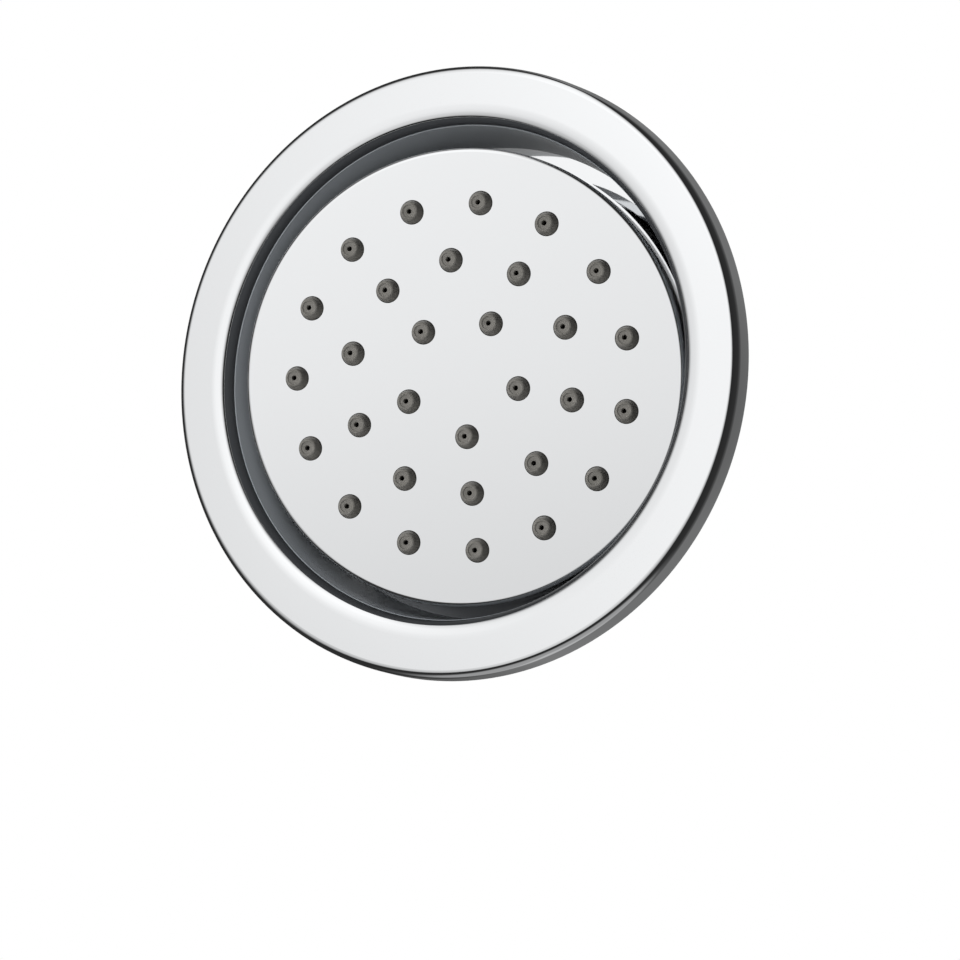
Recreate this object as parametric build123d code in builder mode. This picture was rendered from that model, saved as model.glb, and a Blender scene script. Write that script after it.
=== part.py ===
import os
from math import acos, cos, degrees, radians, sin, sqrt

from build123d import *

os.makedirs("parts", exist_ok=True)

# The jet looks out along -Y, its wall plane is Y = 0 and +Y goes into the wall.
# A section is drawn as (radius, depth) and turned about the jet's axis.

# Trim ring, a flat flange on the wall with a tapered collar behind its opening
ring_front_radius = 52.5
ring_draft = 0.2
ring_depth = 4.8
ring_edge_round = 1.4
ring_shell = 1.9
ring_rim = 3.2
ring_band = 9.9
lip_crown_radius = 12.0
lip_crown_angle = 8.0
lip_round = 2.0
lip_step_depth = 2.3
lip_step = 0.15
collar_taper = 1.25
collar_length = 16.1
collar_wall = 1.7
collar_root = 2.8
collar_root_length = 2.9

# Chromed disc that closes the collar round the ball joint
disc_thickness = 1.2
disc_hole_radius = 17.5

# Foam gasket in the hollow behind the flange
gasket_width = 2.6
gasket_gap = 0.3

# Cord ring that holds the collar in the carrier
trim_cord_radius = 0.7
trim_cord_depth = 11.3

# Spray head, posed on its ball: turned to the right, then dipped
head_pan = 7.7
head_dip = 4.5
head_swing = 8.0
plate_reach = 17.5
opening_gap = 3.6
plate_thickness = 1.4
plate_edge_round = 0.8
skirt_wall = 1.3
skirt_length = 6.5

# Nozzles, in three rings that share one spoke
nozzle_ring_count = 3
nozzle_first_count = 5
nozzle_middle = 0.6
nozzle_margin = 2.5
nozzle_spoke = 58.0
nozzle_radius = 2.0
nozzle_tip_radius = 1.5
nozzle_tip_round = 0.3
nozzle_proud = 1.7
nozzle_hole_radius = 0.42
nozzle_hole_length = 1.5
nozzle_well_radius = 1.1
plate_rim = 6.9
mat_thickness = 1.3
nozzle_gap = 0.08

# Ball and stem, with a threaded shank for the locknut and a G 1/2 tail
ball_radius = 9.0
neck_radius = 4.7
neck_length = 4.8
water_way_radius = 3.4
shoulder_across_flats = 28.0
shoulder_thickness = 2.4
shank_radius = 12.0
shank_spare = 0.6
thread_radius = 10.48
thread_chamfer = 1.2
tail_length = 13.4
inlet_radius = 7.5
inlet_depth = 13.0

# Ball joint: seat in front of the ball, slip ring and nut behind it
ball_gap = 0.1
seat_front_angle = 54.0
seat_back_angle = 25.0
seat_land = 0.4
seat_outer_radius = 9.6
seat_gap = 0.1
slip_front_angle = 7.0
slip_back_angle = 31.0
slip_margin = 2.5
slip_wall = 1.45
nut_outer_radius = 15.0
nut_thread_length = 4.2
nut_body_length = 10.2
nut_nose_radius = 11.2
nut_lip = 0.6
nut_clearance = 0.7
nut_grooves = 8
nut_groove_radius = 1.6
nut_groove_depth = 0.8
thread_gap = 0.05

# Head shell, the water chamber behind the plate
shell_wall = 2.0
shell_skirt_gap = 0.3
shell_floor = 2.4
shell_boss_wall = 2.25
clamp_ring_wall = 1.05
seat_pocket_gap = 0.15
port_radius = 5.2
seat_cord_radius = 0.75
seat_cord_circle = 7.6
cord_gap = 0.05

# Screws between the shell and the plate
head_screw_count = 6
head_screw_inset = 4.1
head_screw_radius = 1.25
head_screw_head_radius = 2.4
head_screw_head = 1.3
head_screw_bite = 2.8
head_screw_socket = 1.1
plate_boss_radius = 2.3
plate_boss_length = 3.5
screw_gap = 0.2

# Carrier, a cast basket: mouth round the collar, three sloping arms, hub on the shank
carrier_arms = 3
carrier_angle = 50.0
carrier_arm_width = 8.0
carrier_arm_thickness = 4.0
carrier_hub_radius = 18.0
carrier_hub_thickness = 4.0
mouth_wall = 1.2
mouth_length = 9.6
mouth_stop = 1.2
mouth_ledge = 1.0
mouth_gap = 0.15

# Washers and nut at the carrier's hub
stem_washer_thickness = 1.0
stem_washer_radius = 15.5
lock_washer_thickness = 1.2
lock_washer_radius = 16.5
locknut_thickness = 6.0
locknut_across_flats = 30.0
shank_gap = 0.12

# Restrictor, strainer and circlip in the inlet
restrictor_thickness = 4.0
restrictor_hole_radius = 0.6
restrictor_hole_circle = 3.4
restrictor_holes = 6
inlet_gap = 0.1
inlet_cord_radius = 0.85
strainer_flange = 1.0
strainer_length = 6.0
strainer_radius = 5.2
strainer_wall = 0.8
strainer_hole_radius = 0.55
strainer_ring_count = 2
strainer_first_count = 6
strainer_pitch = 1.6
circlip_thickness = 1.0
circlip_bite = 0.5
circlip_width = 2.0
circlip_opening = 50.0

# Radii that follow from the ring's outer radius
ring_wall_radius = ring_front_radius + ring_draft
rim_inner_radius = ring_front_radius - ring_rim
opening_radius = ring_front_radius - ring_band
collar_end_radius = opening_radius - lip_step - collar_taper
collar_outer_radius = opening_radius + collar_wall
collar_root_radius = opening_radius + collar_root
gasket_outer_radius = rim_inner_radius - gasket_gap
plate_radius = opening_radius - opening_gap
mat_radius = plate_radius - plate_rim
head_screw_circle = plate_radius - head_screw_inset
mouth_stop_radius = collar_end_radius + mouth_ledge
nozzle_pitch = (mat_radius - nozzle_margin - nozzle_middle) / nozzle_ring_count
nozzle_rings = [(nozzle_middle + nozzle_pitch * k, nozzle_first_count * k) for k in range(1, nozzle_ring_count + 1)]
strainer_rings = [(strainer_pitch * k, strainer_first_count * k) for k in range(1, strainer_ring_count + 1)]

# Depths along the jet's axis that follow from the sizes above
face_depth = -ring_depth
collar_end_depth = face_depth + collar_length
flange_inner_depth = face_depth + ring_shell
trim_groove_depth = face_depth + trim_cord_depth
ball_depth = face_depth + plate_reach
neck_start_depth = ball_depth + sqrt(ball_radius**2 - neck_radius**2)
shoulder_depth = neck_start_depth + neck_length
stem_washer_depth = shoulder_depth + shoulder_thickness
carrier_depth = stem_washer_depth + stem_washer_thickness
carrier_back_depth = carrier_depth + carrier_hub_thickness
locknut_depth = carrier_back_depth + lock_washer_thickness
shank_end_depth = locknut_depth + locknut_thickness + shank_spare
tail_end_depth = shank_end_depth + tail_length
inlet_floor_depth = tail_end_depth - inlet_depth
strainer_depth = inlet_floor_depth + restrictor_thickness
circlip_depth = strainer_depth + strainer_flange
stop_depth = collar_end_depth + disc_thickness

# The head's section plane stands at the ball's centre and is posed with the head
pan = radians(head_pan)
dip = radians(head_dip)
head_section = Plane(
    origin=(0, ball_depth, 0),
    x_dir=(cos(pan), sin(pan), 0),
    z_dir=(sin(pan) * sin(dip), -cos(pan) * sin(dip), cos(dip)),
)
head_axis = Axis(head_section.origin, head_section.y_dir)
head_cross = Plane(head_section.origin, x_dir=head_section.x_dir, z_dir=-head_section.y_dir)

# Depths in the head, counted from the ball's centre and negative towards the plate
plate_front_depth = -plate_reach
plate_back_depth = plate_front_depth + plate_thickness
skirt_end_depth = plate_front_depth + skirt_length
mat_back_depth = plate_back_depth + mat_thickness
flange_front_depth = plate_back_depth + plate_boss_length
flange_back_depth = flange_front_depth + shell_wall

# Radii and depths of the ball joint in the head
socket_radius = ball_radius + ball_gap
slip_outer_radius = socket_radius + slip_wall
nut_sphere_radius = slip_outer_radius + ball_gap
slip_swing = head_swing + head_dip + slip_margin
nut_sphere_start = slip_front_angle - slip_swing
nut_sphere_end = slip_back_angle + slip_swing
seat_front_depth = -socket_radius * sin(radians(seat_front_angle)) - seat_land
seat_shoulder_depth = seat_front_depth - seat_gap
seat_groove_depth = seat_shoulder_depth - 2 * seat_cord_radius - cord_gap
chamber_floor_depth = seat_shoulder_depth - shell_floor
pocket_radius = seat_outer_radius + seat_pocket_gap
boss_radius = pocket_radius + shell_boss_wall
nut_step_depth = nut_sphere_radius * sin(radians(nut_sphere_start))
nut_front_depth = nut_step_depth - nut_thread_length
nut_waist_depth = nut_front_depth + nut_body_length
nut_back_depth = nut_sphere_radius * sin(radians(nut_sphere_end)) + nut_lip
boss_end_in_head = nut_step_depth - seat_gap
shell_neck_depth = nut_front_depth - nut_clearance
clamp_inner_radius = mat_radius - clamp_ring_wall
shell_radius = plate_radius - skirt_wall - shell_skirt_gap


def wall_plane(depth):
    """The plane across the jet's axis at a depth, facing out of the wall."""
    return Plane.XZ.offset(-depth)


def head_plane(depth):
    """The plane across the head's axis at a depth in the head, facing the plate."""
    return head_cross.offset(-depth)


def ball_point(radius, angle):
    """A section point on a sphere about the ball's centre, angle counted back from its equator."""
    return (radius * cos(radians(angle)), radius * sin(radians(angle)))


# Trim ring: one casting, hollow behind its flange, grooved outside its collar
edge_centre = (ring_front_radius - ring_edge_round, face_depth + ring_edge_round)
crown = radians(lip_crown_angle)
lip_reach = lip_crown_radius - lip_round
lip_centre = (opening_radius + lip_round, face_depth + lip_crown_radius - lip_reach * cos(crown))
crown_centre = (lip_centre[0] + lip_reach * sin(crown), face_depth + lip_crown_radius)
mouth_radius = collar_outer_radius + mouth_gap
trim_cord_circle = mouth_radius - cord_gap - trim_cord_radius
trim_groove_radius = trim_cord_circle - trim_cord_radius - cord_gap
trim_groove_half = trim_cord_radius + cord_gap
with BuildPart() as trim_ring:
    with BuildSketch(Plane.XY):
        with BuildLine():
            CenterArc(edge_centre, ring_edge_round, 0, -90)
            Line((edge_centre[0], face_depth), (crown_centre[0], face_depth))
            CenterArc(crown_centre, lip_crown_radius, -90, -lip_crown_angle)
            CenterArc(lip_centre, lip_round, -90 - lip_crown_angle, lip_crown_angle - 90)
            Polyline(
                (opening_radius, lip_centre[1]),
                (opening_radius, face_depth + lip_step_depth),
                (opening_radius - lip_step, face_depth + lip_step_depth),
                (collar_end_radius, collar_end_depth),
                (collar_outer_radius, collar_end_depth),
                (collar_outer_radius, trim_groove_depth + trim_groove_half),
                (trim_groove_radius, trim_groove_depth + trim_groove_half),
                (trim_groove_radius, trim_groove_depth - trim_groove_half),
                (collar_outer_radius, trim_groove_depth - trim_groove_half),
                (collar_outer_radius, flange_inner_depth + collar_root_length),
                (collar_root_radius, flange_inner_depth),
                (rim_inner_radius, flange_inner_depth),
                (rim_inner_radius, 0),
                (ring_wall_radius, 0),
                (ring_front_radius, edge_centre[1]),
            )
        make_face()
    revolve(axis=Axis.Y)
trim_ring.part.label = "trim_ring"
export_step(trim_ring.part, "parts/trim_ring.step")

# Cord ring in the collar's groove
with BuildPart() as trim_o_ring:
    with BuildSketch(Plane.XY):
        with Locations((trim_cord_circle, trim_groove_depth)):
            Circle(trim_cord_radius)
    revolve(axis=Axis.Y)
trim_o_ring.part.label = "trim_o_ring"
export_step(trim_o_ring.part, "parts/trim_o_ring.step")

# Back disc, clamped between the collar's end and the carrier's stop
with BuildPart() as back_disc:
    with BuildSketch(wall_plane(stop_depth)):
        Circle(collar_outer_radius)
        Circle(disc_hole_radius, mode=Mode.SUBTRACT)
    extrude(amount=disc_thickness)
back_disc.part.label = "back_disc"
export_step(back_disc.part, "parts/back_disc.step")

# Wall gasket, from the flange's hollow to the wall
with BuildPart() as wall_gasket:
    with BuildSketch(wall_plane(0)):
        Circle(gasket_outer_radius)
        Circle(gasket_outer_radius - gasket_width, mode=Mode.SUBTRACT)
    extrude(amount=-flange_inner_depth)
wall_gasket.part.label = "wall_gasket"
export_step(wall_gasket.part, "parts/wall_gasket.step")

# Spray plate: a shallow cap with a hole for each nozzle and screw bosses behind
rim_centre = (plate_radius - plate_edge_round, plate_front_depth + plate_edge_round)
with BuildPart() as spray_plate:
    with BuildSketch(head_section):
        with BuildLine():
            Line((0, plate_front_depth), (rim_centre[0], plate_front_depth))
            CenterArc(rim_centre, plate_edge_round, -90, 90)
            Polyline(
                (plate_radius, rim_centre[1]),
                (plate_radius, skirt_end_depth),
                (plate_radius - skirt_wall, skirt_end_depth),
                (plate_radius - skirt_wall, plate_back_depth),
                (0, plate_back_depth),
                (0, plate_front_depth),
            )
        make_face()
    revolve(axis=head_axis)
    with BuildSketch(head_plane(flange_front_depth)):
        with PolarLocations(head_screw_circle, head_screw_count):
            Circle(plate_boss_radius)
    extrude(amount=plate_boss_length)
    with BuildSketch(head_plane(flange_front_depth)):
        with PolarLocations(head_screw_circle, head_screw_count):
            Circle(head_screw_radius + thread_gap)
    extrude(amount=head_screw_bite + screw_gap, mode=Mode.SUBTRACT)
    with BuildSketch(head_plane(plate_back_depth)):
        for ring_radius, ring_count in nozzle_rings:
            with PolarLocations(ring_radius, ring_count, nozzle_spoke):
                Circle(nozzle_radius + nozzle_gap)
    extrude(amount=plate_thickness, mode=Mode.SUBTRACT)
spray_plate.part.label = "spray_plate"
export_step(spray_plate.part, "parts/spray_plate.step")

# Nozzle mat: one soft moulding, each nozzle a hollow cone that stands through the plate
nozzle_length = mat_thickness + plate_thickness + nozzle_proud
well_length = nozzle_length - nozzle_hole_length
from_base = (Align.CENTER, Align.CENTER, Align.MIN)
with BuildPart(head_plane(mat_back_depth)) as nozzle_mat:
    Cylinder(mat_radius, mat_thickness, align=from_base)
    with Locations((0, 0, mat_thickness)):
        for ring_radius, ring_count in nozzle_rings:
            with PolarLocations(ring_radius, ring_count, nozzle_spoke):
                Cylinder(nozzle_radius, plate_thickness, align=from_base)
    with Locations((0, 0, mat_thickness + plate_thickness)):
        for ring_radius, ring_count in nozzle_rings:
            with PolarLocations(ring_radius, ring_count, nozzle_spoke):
                Cone(nozzle_radius, nozzle_tip_radius, nozzle_proud, align=from_base)
    tips = nozzle_mat.faces().filter_by(head_cross).group_by(head_axis)[0]
    fillet(tips.edges(), nozzle_tip_round)
    for ring_radius, ring_count in nozzle_rings:
        with PolarLocations(ring_radius, ring_count, nozzle_spoke):
            Cone(nozzle_well_radius, nozzle_hole_radius, well_length, align=from_base, mode=Mode.SUBTRACT)
            Cylinder(nozzle_hole_radius, nozzle_length, align=from_base, mode=Mode.SUBTRACT)
nozzle_mat.part.label = "nozzle_mat"
export_step(nozzle_mat.part, "parts/nozzle_mat.step")

# Head shell: flange and clamp ring for the mat, sloping back wall, socket boss for the ball
with BuildPart() as head_shell:
    with BuildSketch(head_section):
        with BuildLine():
            Polyline(
                (port_radius, chamber_floor_depth),
                (boss_radius, chamber_floor_depth),
                (clamp_inner_radius, flange_front_depth),
                (clamp_inner_radius, mat_back_depth),
                (mat_radius, mat_back_depth),
                (mat_radius, flange_front_depth),
                (shell_radius, flange_front_depth),
                (shell_radius, flange_back_depth),
                (mat_radius, flange_back_depth),
                (nut_outer_radius + nut_clearance, shell_neck_depth),
                (boss_radius, shell_neck_depth),
                (boss_radius, boss_end_in_head),
                (pocket_radius, boss_end_in_head),
                (pocket_radius, seat_shoulder_depth),
                (seat_cord_circle + seat_cord_radius + cord_gap, seat_shoulder_depth),
                (seat_cord_circle + seat_cord_radius + cord_gap, seat_groove_depth),
                (seat_cord_circle - seat_cord_radius - cord_gap, seat_groove_depth),
                (seat_cord_circle - seat_cord_radius - cord_gap, seat_shoulder_depth),
                (port_radius, seat_shoulder_depth),
                (port_radius, chamber_floor_depth),
            )
        make_face()
    revolve(axis=head_axis)
    with BuildSketch(head_plane(flange_back_depth)):
        with PolarLocations(head_screw_circle, head_screw_count):
            Circle(head_screw_radius + screw_gap)
    extrude(amount=shell_wall, mode=Mode.SUBTRACT)
head_shell.part.label = "head_shell"
export_step(head_shell.part, "parts/head_shell.step")

# Head screws: round heads with a hexagon socket, in from behind
with BuildPart() as head_screws:
    with BuildSketch(head_plane(flange_back_depth)):
        with PolarLocations(head_screw_circle, head_screw_count):
            Circle(head_screw_head_radius)
    extrude(amount=-head_screw_head)
    with BuildSketch(head_plane(flange_back_depth)):
        with PolarLocations(head_screw_circle, head_screw_count):
            Circle(head_screw_radius)
    extrude(amount=shell_wall + head_screw_bite)
    with BuildSketch(head_plane(flange_back_depth + head_screw_head)):
        with PolarLocations(head_screw_circle, head_screw_count):
            RegularPolygon(head_screw_socket, 6)
    extrude(amount=head_screw_head / 2, mode=Mode.SUBTRACT)
head_screws.part.label = "head_screws"
export_step(head_screws.part, "parts/head_screws.step")

# Ball seat: a ring with a spherical face against the front of the ball
seat_inner_point = ball_point(socket_radius, -seat_front_angle)
seat_outer_point = ball_point(socket_radius, -seat_back_angle)
with BuildPart() as ball_seat:
    with BuildSketch(head_section):
        with BuildLine():
            CenterArc((0, 0), socket_radius, -seat_front_angle, seat_front_angle - seat_back_angle)
            Polyline(
                seat_outer_point,
                (seat_outer_radius, seat_outer_point[1]),
                (seat_outer_radius, seat_front_depth),
                (seat_inner_point[0], seat_front_depth),
                seat_inner_point,
            )
        make_face()
    revolve(axis=head_axis)
ball_seat.part.label = "ball_seat"
export_step(ball_seat.part, "parts/ball_seat.step")

# Cord ring in the shell's groove, pressing the seat to the ball
with BuildPart() as seat_o_ring:
    with BuildSketch(head_section):
        with Locations((seat_cord_circle, seat_shoulder_depth - seat_cord_radius)):
            Circle(seat_cord_radius)
    revolve(axis=head_axis)
seat_o_ring.part.label = "seat_o_ring"
export_step(seat_o_ring.part, "parts/seat_o_ring.step")

# Slip ring: a spherical liner between the back of the ball and the nut
slip_span = slip_back_angle - slip_front_angle
with BuildPart() as slip_ring:
    with BuildSketch(head_section):
        with BuildLine():
            CenterArc((0, 0), socket_radius, slip_front_angle, slip_span)
            Line(ball_point(socket_radius, slip_back_angle), ball_point(slip_outer_radius, slip_back_angle))
            CenterArc((0, 0), slip_outer_radius, slip_back_angle, -slip_span)
            Line(ball_point(slip_outer_radius, slip_front_angle), ball_point(socket_radius, slip_front_angle))
        make_face()
    revolve(axis=head_axis)
slip_ring.part.label = "slip_ring"
export_step(slip_ring.part, "parts/slip_ring.step")

# Swivel nut: screwed over the shell's boss, its spherical inside holds the slip ring
nut_lip_point = ball_point(nut_sphere_radius, nut_sphere_end)
with BuildPart() as swivel_nut:
    with BuildSketch(head_section):
        with BuildLine():
            CenterArc((0, 0), nut_sphere_radius, nut_sphere_end, nut_sphere_start - nut_sphere_end)
            Polyline(
                ball_point(nut_sphere_radius, nut_sphere_start),
                (boss_radius + thread_gap, nut_step_depth),
                (boss_radius + thread_gap, nut_front_depth),
                (nut_outer_radius, nut_front_depth),
                (nut_outer_radius, nut_waist_depth),
                (nut_nose_radius, nut_back_depth),
                (nut_lip_point[0], nut_back_depth),
                nut_lip_point,
            )
        make_face()
    revolve(axis=head_axis)
    with BuildSketch(head_plane(nut_back_depth)):
        with PolarLocations(nut_outer_radius + nut_groove_radius - nut_groove_depth, nut_grooves):
            Circle(nut_groove_radius)
    extrude(amount=nut_back_depth - nut_front_depth, mode=Mode.SUBTRACT)
swivel_nut.part.label = "swivel_nut"
export_step(swivel_nut.part, "parts/swivel_nut.step")

# Ball stem: ball, neck, hexagon shoulder, shank and tail, bored through
mouth_angle = degrees(acos(water_way_radius / ball_radius))
neck_angle = degrees(acos(neck_radius / ball_radius))
circlip_outer_radius = inlet_radius + circlip_bite
circlip_groove_radius = circlip_outer_radius + cord_gap
with BuildPart() as ball_stem:
    with BuildSketch(Plane.XY):
        with BuildLine():
            CenterArc((0, ball_depth), ball_radius, -mouth_angle, mouth_angle + neck_angle)
            Polyline(
                (neck_radius, neck_start_depth),
                (neck_radius, stem_washer_depth),
                (shank_radius, stem_washer_depth),
                (shank_radius, shank_end_depth),
                (thread_radius, shank_end_depth),
                (thread_radius, tail_end_depth - thread_chamfer),
                (thread_radius - thread_chamfer, tail_end_depth),
                (inlet_radius, tail_end_depth),
                (inlet_radius, circlip_depth + circlip_thickness + cord_gap),
                (circlip_groove_radius, circlip_depth + circlip_thickness + cord_gap),
                (circlip_groove_radius, circlip_depth),
                (inlet_radius, circlip_depth),
                (inlet_radius, inlet_floor_depth),
                (water_way_radius, inlet_floor_depth),
                (water_way_radius, ball_depth - sqrt(ball_radius**2 - water_way_radius**2)),
            )
        make_face()
    revolve(axis=Axis.Y)
    with BuildSketch(wall_plane(stem_washer_depth)):
        RegularPolygon(shoulder_across_flats / 2, 6, major_radius=False)
        Circle(water_way_radius, mode=Mode.SUBTRACT)
    extrude(amount=shoulder_thickness)
ball_stem.part.label = "ball_stem"
export_step(ball_stem.part, "parts/ball_stem.step")

# Stem washer, lock washer and locknut on the shank
shank_hole_radius = shank_radius + shank_gap
with BuildPart() as stem_washer:
    with BuildSketch(wall_plane(carrier_depth)):
        Circle(stem_washer_radius)
        Circle(shank_hole_radius, mode=Mode.SUBTRACT)
    extrude(amount=stem_washer_thickness)
stem_washer.part.label = "stem_washer"
export_step(stem_washer.part, "parts/stem_washer.step")

with BuildPart() as lock_washer:
    with BuildSketch(wall_plane(locknut_depth)):
        Circle(lock_washer_radius)
        Circle(shank_hole_radius, mode=Mode.SUBTRACT)
    extrude(amount=lock_washer_thickness)
lock_washer.part.label = "lock_washer"
export_step(lock_washer.part, "parts/lock_washer.step")

with BuildPart() as stem_locknut:
    with BuildSketch(wall_plane(locknut_depth)):
        RegularPolygon(locknut_across_flats / 2, 6, major_radius=False)
        Circle(shank_radius + thread_gap, mode=Mode.SUBTRACT)
    extrude(amount=-locknut_thickness)
stem_locknut.part.label = "stem_locknut"
export_step(stem_locknut.part, "parts/stem_locknut.step")

# Carrier: a mouth with a stop behind the disc, sloping arms and the hub
mouth_outer_radius = mouth_radius + mouth_wall
mouth_back_depth = stop_depth + mouth_stop
with BuildPart() as carrier:
    with BuildSketch(Plane.XY):
        with BuildLine():
            Polyline(
                (mouth_radius, stop_depth),
                (mouth_radius, mouth_back_depth - mouth_length),
                (mouth_outer_radius, mouth_back_depth - mouth_length),
                (mouth_outer_radius, mouth_back_depth),
                (mouth_stop_radius, mouth_back_depth),
                (mouth_stop_radius, stop_depth),
                (mouth_radius, stop_depth),
            )
        make_face()
    revolve(axis=Axis.Y)
    for arm in range(carrier_arms):
        turn = radians(carrier_angle + 360 * arm / carrier_arms)
        arm_section = Plane((0, 0, 0), x_dir=(cos(turn), 0, sin(turn)), z_dir=(-sin(turn), 0, cos(turn)))
        with BuildSketch(arm_section):
            with BuildLine():
                Polyline(
                    (mouth_stop_radius, stop_depth),
                    (mouth_outer_radius, stop_depth),
                    (mouth_outer_radius, mouth_back_depth + mouth_stop),
                    (carrier_hub_radius + carrier_arm_thickness, carrier_back_depth),
                    (shank_hole_radius, carrier_back_depth),
                    (shank_hole_radius, carrier_depth),
                    (carrier_hub_radius, carrier_depth),
                    (mouth_stop_radius, mouth_back_depth),
                    (mouth_stop_radius, stop_depth),
                )
            make_face()
        extrude(amount=carrier_arm_width / 2, both=True)
    with BuildSketch(wall_plane(carrier_back_depth)):
        Circle(carrier_hub_radius)
    extrude(amount=carrier_hub_thickness)
    with BuildSketch(wall_plane(carrier_back_depth)):
        Circle(shank_hole_radius)
    extrude(amount=carrier_hub_thickness, mode=Mode.SUBTRACT)
carrier.part.label = "carrier"
export_step(carrier.part, "parts/carrier.step")

# Flow restrictor: a grooved disc with small holes on the inlet's floor
restrictor_radius = inlet_radius - inlet_gap
restrictor_middle = inlet_floor_depth + restrictor_thickness / 2
inlet_cord_circle = inlet_radius - cord_gap - inlet_cord_radius
groove_radius = inlet_cord_circle - inlet_cord_radius - cord_gap
with BuildPart() as flow_restrictor:
    with BuildSketch(wall_plane(strainer_depth)):
        Circle(restrictor_radius)
        with PolarLocations(restrictor_hole_circle, restrictor_holes):
            Circle(restrictor_hole_radius, mode=Mode.SUBTRACT)
    extrude(amount=restrictor_thickness)
    with BuildSketch(wall_plane(restrictor_middle + inlet_cord_radius + cord_gap)):
        Circle(restrictor_radius)
        Circle(groove_radius, mode=Mode.SUBTRACT)
    extrude(amount=2 * (inlet_cord_radius + cord_gap), mode=Mode.SUBTRACT)
flow_restrictor.part.label = "flow_restrictor"
export_step(flow_restrictor.part, "parts/flow_restrictor.step")

# Cord ring round the restrictor
with BuildPart() as restrictor_o_ring:
    with BuildSketch(Plane.XY):
        with Locations((inlet_cord_circle, restrictor_middle)):
            Circle(inlet_cord_radius)
    revolve(axis=Axis.Y)
restrictor_o_ring.part.label = "restrictor_o_ring"
export_step(restrictor_o_ring.part, "parts/restrictor_o_ring.step")

# Inlet strainer: a flanged cup with a pierced end, seated on the restrictor
strainer_end_depth = strainer_depth + strainer_length
with BuildPart() as inlet_strainer:
    with BuildSketch(wall_plane(strainer_depth + strainer_flange)):
        Circle(restrictor_radius)
    extrude(amount=strainer_flange)
    with BuildSketch(wall_plane(strainer_end_depth)):
        Circle(strainer_radius)
    extrude(amount=strainer_length)
    with BuildSketch(wall_plane(strainer_end_depth - strainer_wall)):
        Circle(strainer_radius - strainer_wall)
    extrude(amount=strainer_length - strainer_wall, mode=Mode.SUBTRACT)
    with BuildSketch(wall_plane(strainer_end_depth)):
        for ring_radius, ring_count in strainer_rings:
            with PolarLocations(ring_radius, ring_count):
                Circle(strainer_hole_radius)
    extrude(amount=strainer_wall, mode=Mode.SUBTRACT)
inlet_strainer.part.label = "inlet_strainer"
export_step(inlet_strainer.part, "parts/inlet_strainer.step")

# Circlip: an open spring ring in the inlet's groove, behind the strainer's flange
circlip_middle_radius = circlip_outer_radius - circlip_width / 2
circlip_middle_depth = circlip_depth + circlip_thickness / 2
with BuildPart() as inlet_circlip:
    with BuildSketch(Plane.XY):
        with Locations((circlip_middle_radius, circlip_middle_depth)):
            Rectangle(circlip_width, circlip_thickness)
    revolve(axis=Axis.Y, revolution_arc=360 - circlip_opening)
inlet_circlip.part.label = "inlet_circlip"
export_step(inlet_circlip.part, "parts/inlet_circlip.step")
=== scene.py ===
from math import cos, pi, radians, sin

import bmesh
import bpy
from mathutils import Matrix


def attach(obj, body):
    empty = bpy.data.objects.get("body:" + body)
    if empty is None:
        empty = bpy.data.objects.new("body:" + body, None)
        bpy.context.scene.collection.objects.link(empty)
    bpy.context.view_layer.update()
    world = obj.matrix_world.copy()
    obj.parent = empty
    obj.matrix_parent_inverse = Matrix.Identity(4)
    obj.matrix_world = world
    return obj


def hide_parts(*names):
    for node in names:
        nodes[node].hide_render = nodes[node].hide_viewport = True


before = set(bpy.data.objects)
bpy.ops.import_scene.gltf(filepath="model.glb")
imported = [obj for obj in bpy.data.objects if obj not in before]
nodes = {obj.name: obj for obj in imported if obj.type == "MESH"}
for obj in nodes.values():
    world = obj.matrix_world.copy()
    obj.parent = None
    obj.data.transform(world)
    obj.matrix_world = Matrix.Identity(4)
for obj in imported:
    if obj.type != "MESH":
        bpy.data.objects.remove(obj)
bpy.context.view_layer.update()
mm = 0.001
print("frame loaded,", len(nodes), "nodes")


# selection and mesh helpers

def deselectAll():
    if bpy.context.mode != "OBJECT":
        bpy.ops.object.mode_set(mode="OBJECT")
    bpy.ops.object.select_all(action="DESELECT")


def useOnly(piece):
    deselectAll()
    piece.select_set(True)
    bpy.context.view_layer.objects.active = piece


def pickVerts(piece, test):  # edit mode, by place
    bpy.ops.mesh.select_all(action="DESELECT")
    mesh = bmesh.from_edit_mesh(piece.data)
    for vert in mesh.verts:
        vert.select = test(vert.co)
    mesh.select_flush_mode()
    bmesh.update_edit_mesh(piece.data)


pickReach = 2e-6  # m, how near a corner's place a point has to be


def drawOutline(name, corners):  # corners are (radius, depth, rounding) in mm, left in edit mode
    deselectAll()
    bpy.ops.mesh.primitive_plane_add(size=mm, location=(0, 0, 0))
    piece = bpy.context.object
    piece.name = name
    bpy.ops.object.mode_set(mode="EDIT")
    bpy.ops.mesh.merge(type="CENTER")  # the plane becomes the pen's point
    bpy.ops.transform.translate(value=(corners[0][0] * mm, corners[0][1] * mm, 0))
    for last, corner in zip(corners, corners[1:]):
        step = ((corner[0] - last[0]) * mm, (corner[1] - last[1]) * mm, 0)
        bpy.ops.mesh.extrude_vertices_move(TRANSFORM_OT_translate={"value": step})
    bpy.ops.mesh.select_all(action="SELECT")
    bpy.ops.mesh.edge_face_add()
    for radius, depth, rounding in corners:
        if rounding:
            pickVerts(piece, lambda co: max(abs(co.x - radius * mm), abs(co.y - depth * mm)) < pickReach)
            bpy.ops.mesh.bevel(offset=rounding * mm, segments=max(3, int(7 * rounding)), affect="VERTICES")
    return piece


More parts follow.
